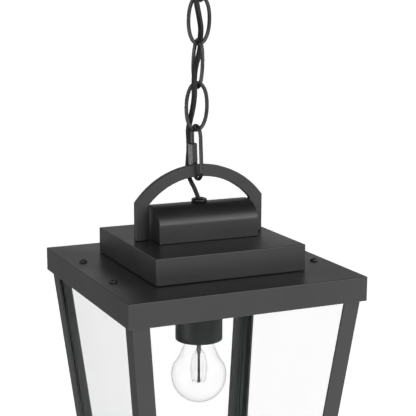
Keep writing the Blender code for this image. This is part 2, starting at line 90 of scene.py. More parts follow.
# Supply cord: a laid black cord of six PVC-covered strands on a core, with a thinner insulated
# earth wire beside it. They go from the gland up behind the handle's band and the sleeve, and
# weave through the chain into the ceiling loop. One stretch bends past each joint of the chain.
cord_route = [
    (0, 0, 0.0560), (0, 0, 0.0640), (-0.0016, 0.0010, 0.0700), (-0.0044, 0.0042, 0.0790),
    (-0.0060, 0.0104, 0.0862), (-0.0058, 0.0174, 0.0945), (-0.0042, 0.0205, 0.1050),
    (-0.0032, 0.0212, 0.1160), (-0.0032, 0.0208, 0.1260), (-0.0046, 0.0178, 0.1345),
    (-0.0063, 0.0118, 0.1418), (-0.0074, 0.0058, 0.1490), (-0.0075, 0.0018, 0.1560),
    (-0.0073, -0.0012, 0.1640), (-0.0076, -0.0042, 0.1720), (-0.0085, -0.0068, 0.1800),
    (-0.0088, -0.0070, 0.1880), (-0.0072, -0.0046, 0.1975), (-0.0036, -0.0008, 0.2065),
    (-0.0002, 0.0022, 0.2130), (0.0036, 0.0062, 0.2215), (0.0044, 0.0078, 0.2300),
    (0.0032, 0.0040, 0.2410), (-0.0006, -0.0012, 0.2510), (-0.0042, -0.0056, 0.2590),
    (-0.0064, -0.0072, 0.2665), (-0.0064, -0.0052, 0.2740), (-0.0030, -0.0016, 0.2830),
    (0, 0, 0.2920), (0, 0, 0.3000), (0, 0, 0.3120),
]
cord_partings = (0.1160, 0.1640, 0.2065, 0.2510)
strand_count, strand_radius, strand_reach = 6, 0.00097, 0.00142
core_radius = 0.00070
strand_pitch = 0.0150
earth_radius = 0.00075
laid_offset, earth_offset = 0.00045, 0.00220
earth_turn_low, earth_turn_high = math.radians(-115), math.radians(-25)
earth_turn_from, earth_turn_to = 0.085, 0.160
route_spacing = 0.0012
strand_sides, core_sides, earth_sides = 10, 8, 12


def smooth_line(points, spacing):
    """A smooth curve through points, as points about spacing apart."""
    knots = [Vector(p) for p in points]
    knots = [2 * knots[0] - knots[1]] + knots + [2 * knots[-1] - knots[-2]]
    line = []
    for before, a, b, after in zip(knots, knots[1:], knots[2:], knots[3:]):
        steps = max(1, round((b - a).length / spacing))
        for i in range(steps):
            t = i / steps
            line.append(
                0.5 * (2 * a + (b - before) * t + (2 * before - 5 * a + 4 * b - after) * t * t
                       + (3 * a - before - 3 * b + after) * t ** 3)
            )
    return line + [knots[-2]]


def add_wire(work, line, radius, sides, closed=False):
    """Adds a round wire along line to a bmesh, with flat ends or joined into a ring."""
    count = len(line)
    side = None
    rings = []
    for i, centre in enumerate(line):
        after = line[(i + 1) % count] if closed or i + 1 < count else centre
        before = line[i - 1] if closed or i else centre
        along = (after - before).normalized()
        if side is None:
            side = along.orthogonal().normalized()
        side = (side - along * side.dot(along)).normalized()
        over = along.cross(side)
        reach = radius[i] if isinstance(radius, list) else radius
        rings.append([
            work.verts.new(centre + reach * (math.cos(a) * side + math.sin(a) * over))
            for a in (2 * math.pi * k / sides for k in range(sides))
        ])
    pairs = list(zip(rings, rings[1:]))
    if closed:
        # The last ring meets the first at the turn that twists the wall least.
        turn = min(range(sides), key=lambda k: (rings[-1][0].co - rings[0][k].co).length)
        pairs.append((rings[-1], rings[0][turn:] + rings[0][:turn]))
    else:
        work.faces.new(rings[0][::-1])
        work.faces.new(rings[-1])
    for low, high in pairs:
        for k in range(sides):
            work.faces.new((low[k], low[(k + 1) % sides], high[(k + 1) % sides], high[k]))


def make_piece(name, work, sharp=38):
    """The object that a bmesh makes, shaded smooth except at edges sharper than that angle."""
    bmesh.ops.recalc_face_normals(work, faces=work.faces)
    mesh = bpy.data.meshes.new(name)
    work.to_mesh(mesh)
    work.free()
    piece = bpy.data.objects.new(name, mesh)
    bpy.context.scene.collection.objects.link(piece)
    mesh.shade_smooth()
    mesh.set_sharp_from_angle(angle=math.radians(sharp))
    return piece


class Finish:
    """A material, its Principled shader and the few node groups that the finishes here use."""

    def __init__(self, name, **sockets):
        self.material = bpy.data.materials.new(name)
        self.material.use_nodes = True
        self.tree = self.material.node_tree
        self.shader = self.tree.nodes["Principled BSDF"]
        self.place = self.tree.nodes.new("ShaderNodeTexCoord").outputs["Object"]
        for socket, value in sockets.items():
            self.shader.inputs[socket.replace("_", " ")].default_value = value

    def noise(self, scale, detail=2.0, roughness=0.5, stretch=(1, 1, 1)):
        """A noise field between 0 and 1 whose grains are about 1/scale metres."""
        mapping = self.tree.nodes.new("ShaderNodeMapping")
        mapping.inputs["Scale"].default_value = stretch
        noise = self.tree.nodes.new("ShaderNodeTexNoise")
        noise.inputs["Scale"].default_value = scale
        noise.inputs["Detail"].default_value = detail
        noise.inputs["Roughness"].default_value = roughness
        self.tree.links.new(self.place, mapping.inputs["Vector"])
        self.tree.links.new(mapping.outputs["Vector"], noise.inputs["Vector"])
        return noise.outputs["Fac"]

    def ranged(self, factor, low, high, start=0.3, end=0.7):
        """A number that runs from low to high as factor goes from start to end."""
        span = self.tree.nodes.new("ShaderNodeMapRange")
        ends = {"From Min": start, "From Max": end, "To Min": low, "To Max": high}
        for socket, value in ends.items():
            span.inputs[socket].default_value = value
        self.tree.links.new(factor, span.inputs["Value"])
        return span.outputs["Result"]

    def sum_of(self, first, second, operation="ADD"):
        """Two numbers added, or joined by another operation."""
        joined = self.tree.nodes.new("ShaderNodeMath")
        joined.operation = operation
        self.tree.links.new(first, joined.inputs[0])
        self.tree.links.new(second, joined.inputs[1])
        return joined.outputs["Value"]

    def tinted(self, factor, dark, light):
        """Drives the base colour from dark to light as factor goes from 0 to 1."""
        mix = self.tree.nodes.new("ShaderNodeMix")
        mix.data_type = "RGBA"
        mix.inputs["A"].default_value = (*dark, 1)
        mix.inputs["B"].default_value = (*light, 1)
        self.tree.links.new(factor, mix.inputs["Factor"])
        self.tree.links.new(mix.outputs["Result"], self.shader.inputs["Base Color"])

    def drive(self, socket, value):
        self.tree.links.new(value, self.shader.inputs[socket])

    def raised(self, height, depth):
        """Raises the surface by up to depth metres where height goes from 0 to 1."""
        bump = self.tree.nodes.new("ShaderNodeBump")
        bump.inputs["Strength"].default_value = 1.0
        bump.inputs["Distance"].default_value = depth
        self.tree.links.new(height, bump.inputs["Height"])
        self.tree.links.new(bump.outputs["Normal"], self.shader.inputs["Normal"])


pvc = Finish("black_pvc_wire", IOR=1.5, Specular_IOR_Level=0.28)
pvc.tinted(pvc.noise(240, 4), (0.005, 0.005, 0.0053), (0.015, 0.015, 0.0155))
pvc.drive("Roughness", pvc.ranged(pvc.noise(600, 3), 0.38, 0.55))
pvc.raised(pvc.noise(2400, 2, stretch=(1, 1, 0.2)), 0.00003)

cord_line = [p + Vector((0, 0, roof_top)) for p in smooth_line(cord_route, route_spacing)]
strand_lines = [[] for _ in range(strand_count)]
core_line, earth_line = [], []
travelled = 0.0
for i, centre in enumerate(cord_line):
    before, after = cord_line[max(i - 1, 0)], cord_line[min(i + 1, len(cord_line) - 1)]
    travelled += (centre - before).length
    climbed = (centre.z - roof_top - earth_turn_from) / (earth_turn_to - earth_turn_from)
    turned = earth_turn_low + (earth_turn_high - earth_turn_low) * min(1.0, max(0.0, climbed))
    along = (after - before).normalized()
    apart = Vector((math.cos(turned), math.sin(turned), 0))
    apart = (apart - along * apart.dot(along)).normalized()
    over = along.cross(apart)
    middle = centre + laid_offset * apart
    core_line.append(middle)
    earth_line.append(centre - earth_offset * apart)
    for k, strand_line in enumerate(strand_lines):
        angle = 2 * math.pi * (k / strand_count + travelled / strand_pitch)
        strand_line.append(middle + strand_reach * (math.cos(angle) * apart + math.sin(angle) * over))

parting_steps = [0]
for height in cord_partings:
    parting_steps.append(next(i for i, p in enumerate(cord_line) if p.z - roof_top > height))
parting_steps.append(len(cord_line) - 1)
for number in range(len(cord_partings) + 1):
    first, last = parting_steps[number], parting_steps[number + 1]
    work = bmesh.new()
    for strand_line in strand_lines:
        add_wire(work, strand_line[first:last + 1], strand_radius, strand_sides)
    add_wire(work, core_line[first:last + 1], core_radius, core_sides)
    add_wire(work, earth_line[first:last + 1], earth_radius, earth_sides)
    stretch = make_piece(f"cord_stretch_{number + 1}", work)
    stretch.data.materials.append(pvc.material)
    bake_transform(stretch)
    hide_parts(f"cord_{number + 1}")

# Studio: a pale, slightly luminous floor well below the lantern, a long softbox in front and one at
# the left. The floor is left out of reflections, because the room has a floor brightness of its own.
floor_size, floor_drop = 60, 0.9
floor_work = bmesh.new()
bmesh.ops.create_grid(floor_work, x_segments=1, y_segments=1, size=floor_size / 2)
floor = make_piece("studio_floor", floor_work)
floor.location = (0, 0, cad_box[0][2] - floor_drop)
floor.visible_glossy = False
floor.visible_diffuse = False
pale = Finish("pale_floor", Roughness=0.9, Emission_Strength=0.46)
pale.shader.inputs["Emission Color"].default_value = (1, 1, 1, 1)
pale.tinted(pale.noise(3, 2), (0.90, 0.90, 0.90), (0.94, 0.94, 0.94))
floor.data.materials.append(pale.material)


def add_softbox(name, place, target, size, power):
    """A rectangular softbox at place, turned to face target."""
    light = bpy.data.lights.new(name, "AREA")
    light.shape = "RECTANGLE"
    light.size, light.size_y = size
    light.energy = power
    holder = bpy.data.objects.new(name, light)
    bpy.context.scene.collection.objects.link(holder)
    holder.location = place
    facing = Vector(target) - Vector(place)
    holder.rotation_euler = facing.to_track_quat("-Z", "Y").to_euler()
    holder.visible_camera = False


add_softbox("front_strip", (0.90, -1.96, 0.21), (0, 0, -0.27), (1.8, 0.35), 12)
add_softbox("left_strip", (-1.95, -0.18, -0.62), (0, 0, -0.24), (0.5, 0.9), 8)

# The room has a pale floor, a plain wall, a bright window band above it and a dark ceiling, and it
# is brighter in front of the lantern than behind. Heights run from -1 straight down to 1 straight up.
floor_edge, wall_foot, wall_top = -0.3, 0.0, 0.15
halves_meet = 0.35
backdrop_white = 1.03


def room_stops(floor, wall, window, ceiling, window_height, ceiling_edge):
    """The brightness of one half of the room at each height where it changes."""
    return ((floor_edge, floor), (wall_foot, wall), (wall_top, wall), (window_height, window),
            (ceiling_edge, ceiling))


room_front = room_stops(floor=1.8, wall=0.6, window=3.0, ceiling=0.2,
                        window_height=0.5, ceiling_edge=0.8)
room_behind = room_stops(floor=0.35, wall=0.35, window=0.8, ceiling=0.0,
                         window_height=0.3, ceiling_edge=0.5)
world = bpy.data.worlds.new("studio_room")
bpy.context.scene.world = world
world.use_nodes = True
room = world.node_tree
direction = room.nodes.new("ShaderNodeSeparateXYZ")
room.links.new(room.nodes.new("ShaderNodeTexCoord").outputs["Generated"], direction.inputs["Vector"])
room_height = room.nodes.new("ShaderNodeMapRange")
room_height.inputs["From Min"].default_value = -1
room.links.new(direction.outputs["Z"], room_height.inputs["Value"])
halves = room.nodes.new("ShaderNodeMix")
halves.data_type = "RGBA"
for socket, stops in (("A", room_front), ("B", room_behind)):
    ramp = room.nodes.new("ShaderNodeValToRGB")
    for height, _ in stops[1:-1]:
        ramp.color_ramp.elements.new((height + 1) / 2)
    for element, (height, grey) in zip(ramp.color_ramp.elements, stops):
        element.position = (height + 1) / 2
        element.color = (grey, grey, grey, 1)
    room.links.new(room_height.outputs["Result"], ramp.inputs["Fac"])
    room.links.new(ramp.outputs["Color"], halves.inputs[socket])
facing_back = room.nodes.new("ShaderNodeMapRange")
facing_back.inputs["From Min"].default_value = -halves_meet
facing_back.inputs["From Max"].default_value = halves_meet
room.links.new(direction.outputs["Y"], facing_back.inputs["Value"])
room.links.new(facing_back.outputs["Result"], halves.inputs["Factor"])
seen = room.nodes.new("ShaderNodeLightPath")
backdrop = room.nodes.new("ShaderNodeMix")
backdrop.data_type = "RGBA"
backdrop.inputs["B"].default_value = (backdrop_white, backdrop_white, backdrop_white, 1)
room.links.new(seen.outputs["Is Camera Ray"], backdrop.inputs["Factor"])
room.links.new(halves.outputs["Result"], backdrop.inputs["A"])
room.links.new(backdrop.outputs["Result"], room.nodes["Background"].inputs["Color"])

# Roof: two square trays folded from 2 mm steel with welded corners, open underneath and powder
# coated satin black. The upper tray sits on the lower one and takes the handle and the hood.
lower_half, lower_deep = 0.127, 0.025
upper_half, upper_top = 0.0814, 0.0276
sheet = 0.002
clearance = 0.0003
fold_radius = 0.0009
roof_screw_x, roof_screw_y = 0.112, 0.0455
roof_screw_places = [(sx * roof_screw_x, sy * roof_screw_y) for sy in (-1, 1) for sx in (-1, 1)]
wiring_hole, roof_screw_hole, handle_screw_hole = 0.012, 0.0023, 0.0022
lead_hole, screw_hole_sides = 0.005, 20
handle_screw_x = 0.064
at_roof = Matrix.Translation((0, 0, roof_top))


def coated(name, tone):
    """Satin black powder coat over steel: a fine orange peel, faint cloudiness and dust."""
    finish = Finish(name, IOR=1.5)
    cloud = finish.noise(14, 3)
    dust = finish.noise(900, 3, 0.65)
    mixed = finish.sum_of(finish.ranged(cloud, 0.0, 0.6), finish.ranged(dust, 0.0, 0.4))
    finish.tinted(mixed, tone, tuple(2.1 * c for c in tone))
    finish.drive("Roughness", finish.ranged(finish.sum_of(cloud, dust), 0.33, 0.43, 0.8, 1.2))
    finish.raised(finish.noise(750, 2), 0.000035)
    return finish


powder_coat = coated("satin_black_powder_coat", (0.0075, 0.0075, 0.0078))


def add_prism(work, outline, low, high, drift=(0, 0)):
    """Adds a straight solid: a closed outline in X and Y, from height low up to high."""
    rows = []
    for level, shift in ((low, 0), (high, high - low)):
        rows.append([
            work.verts.new((x + drift[0] * shift, y + drift[1] * shift, level)) for x, y in outline
        ])
    work.faces.new(rows[0][::-1])
    work.faces.new(rows[1])
    count = len(outline)
    for k in range(count):
        after = (k + 1) % count
        work.faces.new((rows[0][k], rows[0][after], rows[1][after], rows[1][k]))


def circle(radius, sides, centre=(0, 0), turned_by=0.0):
    turns = [2 * math.pi * k / sides + turned_by for k in range(sides)]
    return [(centre[0] + radius * math.cos(a), centre[1] + radius * math.sin(a)) for a in turns]


def square(half):
    return [(-half, -half), (half, -half), (half, half), (-half, half)]


def prism_piece(name, outline, low, high, drift=(0, 0)):
    work = bmesh.new()
    add_prism(work, outline, low, high, drift)
    return make_piece(name, work)


def settled(piece, round_over=0.0, steps=3, cutters=()):
    """Rounds the sharp edges, cuts the cutters out, evens the shading and applies it all."""
    if round_over:
        rounding = piece.modifiers.new("rounding", "BEVEL")
        rounding.width = round_over
        rounding.segments = steps
        rounding.limit_method = "ANGLE"
        rounding.angle_limit = math.radians(32)
    for cutter in cutters:
        boolean = piece.modifiers.new("cut", "BOOLEAN")
        boolean.operation = "DIFFERENCE"
        boolean.solver = "EXACT"
        boolean.object = cutter
    shading = piece.modifiers.new("shading", "WEIGHTED_NORMAL")
    shading.keep_sharp = True
    graph = bpy.context.evaluated_depsgraph_get()
    graph.update()
    mesh = bpy.data.meshes.new_from_object(piece.evaluated_get(graph), depsgraph=graph)
    mesh.name = piece.name
    piece.modifiers.clear()
    piece.data = mesh
    for cutter in cutters:
        bpy.data.objects.remove(cutter, do_unlink=True)
    return piece


def place(piece, turn, body, nodes, slot_name, *finishes):
    """Puts a piece in its place with its finishes and hands it to the frame."""
    piece.data.transform(turn)
    piece.data.materials.clear()
    for finish in finishes:
        piece.data.materials.append(finish.material)
    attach(piece, body)
    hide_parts(*nodes)
    return piece


def tray(name, half, top, foot):
    """An upturned square tray of folded sheet, as one closed skin."""
    work = bmesh.new()
    shells = []
    for reach, ceiling in ((half, top), (half - sheet, top - sheet)):
        low = [work.verts.new((x, y, foot)) for x, y in square(reach)]
        high = [work.verts.new((x, y, ceiling)) for x, y in square(reach)]
        shells.append((low, high))
        work.faces.new(high)
        for k in range(4):
            work.faces.new((low[k], low[(k + 1) % 4], high[(k + 1) % 4], high[k]))
    outer, inner = shells[0][0], shells[1][0]
    for k in range(4):
        work.faces.new((outer[k], outer[(k + 1) % 4], inner[(k + 1) % 4], inner[k]))
    return make_piece(name, work)


def drill(radius, low, high, centre=(0, 0), sides=32):
    return prism_piece("drill", circle(radius, sides, centre), low, high)


lower_tray = tray("roof_lower_tray", lower_half, 0, -lower_deep)
lower_cuts = [drill(wiring_hole, -0.01, 0.01)]
lower_cuts += [drill(roof_screw_hole, -0.01, 0.01, spot, screw_hole_sides)
               for spot in roof_screw_places]
settled(lower_tray, fold_radius, 4, lower_cuts)
place(lower_tray, at_roof, "lantern", ["roof_lower_step"], "black_metal", powder_coat)
upper_tray = tray("roof_upper_tray", upper_half, upper_top, clearance)
upper_cuts = [drill(lead_hole, 0.02, 0.04)]
upper_cuts += [drill(handle_screw_hole, 0.02, 0.04, (sx * handle_screw_x, 0), screw_hole_sides)
               for sx in (-1, 1)]
settled(upper_tray, fold_radius, 4, upper_cuts)
place(upper_tray, at_roof, "lantern", ["roof_upper_step"], "black_metal", powder_coat)

# Roof screws: four black pan-head machine screws with a cross recess. They go down through the
# lower tray into the frame under it, and hold the roof on.
screw_turns = (22, 71, -14, 48)
roof_head, roof_shank, roof_screw_long, roof_head_high = 0.00415, 0.0019, 0.009, 0.00257
thread_pitch = 0.0007


def turned_piece(name, profile, sides=48, steps=None):
    """A turned solid of (radius, height) points, down its outside and back up its bore.

    steps, if given, changes each point's radius: it takes the point's number and the angle.
    """
    work = bmesh.new()
    on_axis = profile[0][0] == 0
    rings = []
    for n, (radius, height) in enumerate(profile):
        if radius == 0:
            rings.append([work.verts.new((0, 0, height))])
            continue
        ring = []
        for k in range(sides):
            a = 2 * math.pi * k / sides
            reach = radius + (steps(n, a) if steps else 0)
            ring.append(work.verts.new((reach * math.cos(a), reach * math.sin(a), height)))
        rings.append(ring)
    pairs = list(zip(rings, rings[1:] + ([] if on_axis else rings[:1])))
    for first, second in pairs:
        for k in range(sides):
            after = (k + 1) % sides
            corners = [first[k % len(first)], first[after % len(first)],
                       second[after % len(second)], second[k % len(second)]]
            work.faces.new(list(dict.fromkeys(corners)))
    return make_piece(name, work)


def arc_points(centre, radius, start, end, count):
    """Points on an arc from angle start to angle end, in degrees."""
    turns = [math.radians(start + (end - start) * i / (count - 1)) for i in range(count)]
    return [(centre[0] + radius * math.cos(a), centre[1] + radius * math.sin(a)) for a in turns]


def threaded(outer, core, low, high, pitch):
    """The outline of a screw thread from high down to low, as ridges round a shank."""
    points = []
    height = high
    while height - pitch > low:
        points += [(core, height), (outer, height - 0.45 * pitch), (outer, height - 0.55 * pitch)]
        height -= pitch
    return points + [(core, height), (core, low)]


def pan_head(name, head, shank, length, head_high):
    """A pan-head screw standing on its head's underside, with a cross recess in the head."""
    crown = [(0, head_high), (0.30 * head, 0.985 * head_high), (0.55 * head, 0.93 * head_high),
             (0.74 * head, 0.81 * head_high), (0.88 * head, 0.60 * head_high),
             (0.965 * head, 0.32 * head_high), (head, clearance + 0.0002), (0.97 * head, clearance)]
    body = crown + threaded(shank, 0.82 * shank, -length, clearance, thread_pitch)
    body.append((0, -length))
    screw = turned_piece(name, body, 32)
    arm, width, deep = 0.56 * head, 0.13 * head, 0.62 * head_high
    cross = []
    for quarter in range(2):
        blade = [(-arm, -width), (arm, -width), (arm, width), (-arm, width)]
        if quarter:
            blade = [(-y, x) for x, y in blade]
        cross.append(prism_piece("recess", blade, head_high - deep, head_high + 0.001))
    return settled(screw, cutters=cross)


for number, (spot, turn) in enumerate(zip(roof_screw_places, screw_turns), 1):
    screw = pan_head(f"roof_pan_screw_{number}", roof_head, roof_shank, roof_screw_long,
                     roof_head_high)
    turn = at_roof @ Matrix.Translation((*spot, 0)) @ Matrix.Rotation(math.radians(turn), 4, "Z")
    place(screw, turn, "lantern", [f"roof_screw_{number}"], "black_metal", powder_coat)

# Handle: an arched band 6 mm thick, cut from steel plate with its edges eased, and powder
# coated. Two zinc-plated screws come up through the upper tray into its feet.
band_thick = 0.006
band_foot = upper_top + clearance
leg_out, leg_in, leg_corner = 0.0715, 0.0568, 0.0672
outer_arc, inner_arc = (0.0136, 0.0894), (0.0153, 0.0753)
band_screw_hole, band_screw_deep = 0.0021, 0.012
foot_head, foot_shank, foot_screw_long, foot_head_high = 0.0038, 0.0018, 0.0125, 0.00235
upright = Matrix.Rotation(math.radians(90), 4, "X")
reach_out = math.degrees(math.asin((leg_corner - outer_arc[0]) / outer_arc[1]))
reach_in = math.degrees(math.acos(leg_in / inner_arc[1]))
band_outline = [(leg_out, band_foot)]
band_outline += arc_points((0, outer_arc[0]), outer_arc[1], reach_out, 180 - reach_out, 97)
band_outline += [(-leg_out, band_foot), (-leg_in, band_foot)]
band_outline += arc_points((0, inner_arc[0]), inner_arc[1], 180 - reach_in, reach_in, 97)
band_outline += [(leg_in, band_foot)]
band = prism_piece("handle_band", band_outline, -band_thick / 2, band_thick / 2)
settled(band, 0.0007, 3)
band.data.transform(upright)
band_drills = [drill(band_screw_hole, 0.02, band_foot + band_screw_deep, (sx * handle_screw_x, 0),
                     screw_hole_sides) for sx in (-1, 1)]
settled(band, cutters=band_drills)
place(band, at_roof, "lantern", ["arch_handle"], "black_metal", powder_coat)


def plated(name, base, roughness):
    """Zinc-plated steel: bright grey metal with a soft bloom and fine scratches."""
    finish = Finish(name, Metallic=1.0)
    bloom = finish.noise(90, 4, 0.6)
    finish.tinted(bloom, tuple(0.72 * c for c in base), base)
    finish.drive("Roughness", finish.ranged(finish.noise(420, 4), roughness - 0.08, roughness + 0.12))
    finish.raised(finish.noise(1400, 2, stretch=(1, 1, 0.15)), 0.000015)
    return finish


zinc = plated("zinc_plated_steel", (0.60, 0.61, 0.62), 0.34)
for number, sx in enumerate((-1, 1), 1):
    screw = pan_head(f"handle_pan_screw_{number}", foot_head, foot_shank, foot_screw_long,
                     foot_head_high)
    spot = Matrix.Translation((sx * handle_screw_x, 0, upper_top - sheet - clearance))
    place(screw, at_roof @ spot @ Matrix.Rotation(math.pi, 4, "X"), "lantern",
          [f"handle_screw_{number}"], "zinc_steel", zinc)

# Hood: a barrel of 1.6 mm steel over the wiring hole, rolled with straight skirts and closed by
# an inset plate at each end. The cord's gland is clamped through its crown.
hood_half_long, hood_half_deep = 0.0552, 0.027
skirt_top, crown_top, hood_wall = 0.0456, 0.0638, 0.0016
along_x = Matrix.Rotation(math.radians(90), 4, "Z") @ upright
gland_hole = 0.0053


def hood_line(inset, foot, count):
    """The hood's end view: straight skirts under half an ellipse, inset from the outside."""
    half, rise = hood_half_deep - inset, crown_top - skirt_top - inset
    turns = [math.pi * i / (count - 1) for i in range(count)]
    top = [(half * math.cos(a), skirt_top + rise * math.sin(a)) for a in turns]
    return [(half, foot)] + top + [(-half, foot)]


hood_outline = hood_line(0, band_foot, 73) + hood_line(hood_wall, band_foot, 73)[::-1]
hood = prism_piece("barrel_hood_shell", hood_outline, -hood_half_long, hood_half_long)
settled(hood, 0.0004, 2)
hood.data.transform(along_x)
settled(hood, cutters=[drill(gland_hole, crown_top - 0.006, crown_top + 0.006)])
place(hood, at_roof, "lantern", ["barrel_hood"], "black_metal", powder_coat)
for number, sx in enumerate((-1, 1), 1):
    plate = prism_piece(f"hood_end_plate_{number}", hood_line(hood_wall + clearance, band_foot, 49),
                        -hood_wall / 2, hood_wall / 2)
    settled(plate, 0.0003, 2)
    shift = Matrix.Translation((sx * (hood_half_long - hood_wall), 0, 0))
    place(plate, at_roof @ shift @ along_x, "lantern", [f"hood_end_{number}"], "black_metal",
          powder_coat)

# Cord gland: a moulded black rubber-and-nylon bush with a rounded flange. It is pushed through
# the hood's crown and held inside by a thin steel nut.
gland_seat = crown_top + clearance
flange_round, flange_middle, gland_long = 0.0024, 0.0058, 0.012
gland_profile = [(0.0036, gland_seat + 0.0028), (0.0041, gland_seat + 0.0034),
                 (0.0050, gland_seat + 0.0036)]
gland_profile += [(flange_middle + flange_round * math.sin(a),
                   gland_seat + flange_round / 2 + flange_round * math.cos(a))
                  for a in [math.radians(d) for d in range(0, 91, 10)]]
gland_profile += [(0.0082, gland_seat + 0.0004), (0.0079, gland_seat)]
gland_profile += threaded(0.0050, 0.0046, gland_seat - gland_long, gland_seat, 0.001)
gland_profile += [(0.0034, gland_seat - gland_long), (0.0034, gland_seat + 0.0024)]
gland = turned_piece("cord_gland_bush", gland_profile, 64)
bush = Finish("black_bush_moulding", IOR=1.5, Specular_IOR_Level=0.25)
bush.tinted(bush.noise(120, 3), (0.003, 0.003, 0.003), (0.010, 0.010, 0.010))
bush.drive("Roughness", bush.ranged(bush.noise(500, 3), 0.11, 0.20))
bush.raised(bush.noise(1600, 2), 0.00001)
place(gland, at_roof, "lantern", ["cord_gland"], "gland_rubber", bush)


def hex_piece(name, across, bore, height, chamfer=0.93):
    """A hexagonal nut or sleeve from 0 up to height, with its corners chamfered at both ends."""
    half, sides = across / 2, 72
    work = bmesh.new()
    inner = chamfer * half
    rings = []
    for kind in ("foot_bore", "foot_flat", "foot_edge", "head_edge", "head_flat", "head_bore"):
        ring = []
        for k in range(sides):
            a = 2 * math.pi * k / sides
            to_flat = (a + math.pi / 6) % (math.pi / 3) - math.pi / 6
            corner = half / math.cos(to_flat)
            radius = {"bore": bore, "flat": inner, "edge": corner}[kind.split("_")[1]]
            drop = (corner - inner) * math.tan(math.radians(30)) if kind.endswith("edge") else 0
            level = drop if kind.startswith("foot") else height - drop
            ring.append(work.verts.new((radius * math.cos(a), radius * math.sin(a), level)))
        rings.append(ring)
    for first, second in zip(rings, rings[1:] + rings[:1]):
        for k in range(sides):
            after = (k + 1) % sides
            work.faces.new((first[k], first[after], second[after], second[k]))
    return make_piece(name, work, 25)


gland_nut_across, nut_across, nut_bore, nut_high, gland_nut_drop = 0.014, 0.015, 0.0053, 0.004, 0.005
gland_nut = hex_piece("gland_lock_nut", gland_nut_across, nut_bore, nut_high)
nut_seat = Matrix.Translation((0, 0, crown_top - hood_wall - clearance - gland_nut_drop))
place(settled(gland_nut), at_roof @ nut_seat, "lantern", ["gland_nut"], "black_metal", powder_coat)

# Quick link: 4 mm steel rod bent into a long oval, hung under the handle's band, with a long hex
# sleeve nut screwed across its mouth. Both are blackened and lean a little with the load.
link_rod = 0.002
quick_half, quick_straight = 0.0105, 0.0342
quick_foot, quick_lean = (-0.0018, 0, 0.0877), math.radians(-2.0)
mouth_low, mouth_high = 0.0150, 0.0215
sleeve_from, sleeve_long = 0.0134, 0.0225
sleeve_across, sleeve_twist, sleeve_chamfer = 0.0092, math.radians(33), 0.82
at_quick = at_roof @ Matrix.Translation(quick_foot) @ Matrix.Rotation(quick_lean, 4, "Y")
foot_bend = arc_points((0, quick_half), quick_half, 180, 360, 41)
head_bend = arc_points((0, quick_half + quick_straight), quick_half, 0, 180, 41)
quick_line = [(-quick_half, mouth_high + (quick_half + quick_straight - mouth_high) * i / 12)
              for i in range(12)]
quick_line += head_bend[::-1]
quick_line += [(quick_half, quick_half + quick_straight * (1 - i / 16)) for i in range(1, 16)]
quick_line += foot_bend[::-1]
quick_line += [(-quick_half, mouth_low)]
quick_work = bmesh.new()
add_wire(quick_work, [Vector((0, -y, z)) for y, z in quick_line], link_rod, 24)
quick_rod = make_piece("quick_link_rod", quick_work, 50)
worn_black = Finish("blackened_steel", IOR=1.5)
worn_mix = worn_black.sum_of(worn_black.ranged(worn_black.noise(160, 4, 0.6), 0.0, 0.7),
                             worn_black.ranged(worn_black.noise(1100, 2), 0.0, 0.3))
worn_black.tinted(worn_mix, (0.006, 0.006, 0.0063), (0.017, 0.017, 0.0175))
worn_black.drive("Roughness", worn_black.ranged(worn_black.noise(380, 3), 0.18, 0.32))
worn_black.raised(worn_black.noise(900, 3), 0.00003)
place(quick_rod, at_quick, "quick_link", ["quick_link"], "black_metal", worn_black)
sleeve = hex_piece("quick_link_hex_sleeve", sleeve_across, link_rod + clearance, sleeve_long,
                   sleeve_chamfer)
sleeve_turn = Matrix.Translation((0, quick_half, sleeve_from)) @ Matrix.Rotation(sleeve_twist, 4, "Z")
place(settled(sleeve), at_quick @ sleeve_turn, "sleeve", ["quick_link_sleeve"], "black_metal",
      worn_black)

# Chain: oval links of 4 mm steel rod, butt welded half way up one side and blackened. Every second
# link is a quarter turn round.
link_half_wide, link_half_high, link_fullness = 0.0115, 0.024, 2.15
link_pitch = 2 * (link_half_high - link_rod) - clearance
link_count = 3
weld_long, notch_place, notch_long = 0.0008, 0.0013, 0.00025
rod_share, weld_swell, notch_deep = 0.985, 0.015, 0.16


def link_line(count):
    """The middle line of a chain link in X and Z, a little fuller than an ellipse."""
    points = []
    power = 2 / link_fullness
    for i in range(count):
        a = 2 * math.pi * i / count
        c, s = math.cos(a), math.sin(a)
        points.append(Vector((link_half_wide * math.copysign(abs(c) ** power, c), 0,
                              link_half_high * math.copysign(abs(s) ** power, s))))
    return points


quick_lift = 2 * quick_half + quick_straight
chain_start = Vector(quick_foot)
chain_start += Vector((math.sin(quick_lean), 0, math.cos(quick_lean))) * quick_lift
chain_start.z -= 2 * link_rod + clearance
chain_long = 2 * link_half_high + (link_count - 1) * link_pitch
chain_end = Vector((0, 0, chain_start.z + math.sqrt(chain_long ** 2 - chain_start.x ** 2)))
chain_run = (chain_end - chain_start).normalized()
chain_lean = Matrix.Rotation(math.atan2(chain_run.x, chain_run.z), 4, "Y")
link_points = link_line(160)
for number in range(link_count):
    swell = []
    for point in link_points:
        at_weld = math.exp(-(point.z / weld_long) ** 2) if point.x < 0 else 0
        notch = math.exp(-((point.z - notch_place) / notch_long) ** 2) if point.x < 0 else 0
        swell.append(link_rod * (rod_share + weld_swell * at_weld - notch_deep * notch))
    link_work = bmesh.new()
    add_wire(link_work, link_points, swell, 24, closed=True)
    link = make_piece(f"chain_link_rod_{number + 1}", link_work, 50)
    middle = chain_start + chain_run * (link_half_high + number * link_pitch)
    quarter = Matrix.Rotation(math.radians(90 * (number % 2)), 4, "Z")
    turn = Matrix.Translation(middle) @ chain_lean @ quarter
    place(link, at_roof @ turn, f"link_{number + 1}", [f"chain_link_{number + 1}"], "black_metal",
          worn_black)

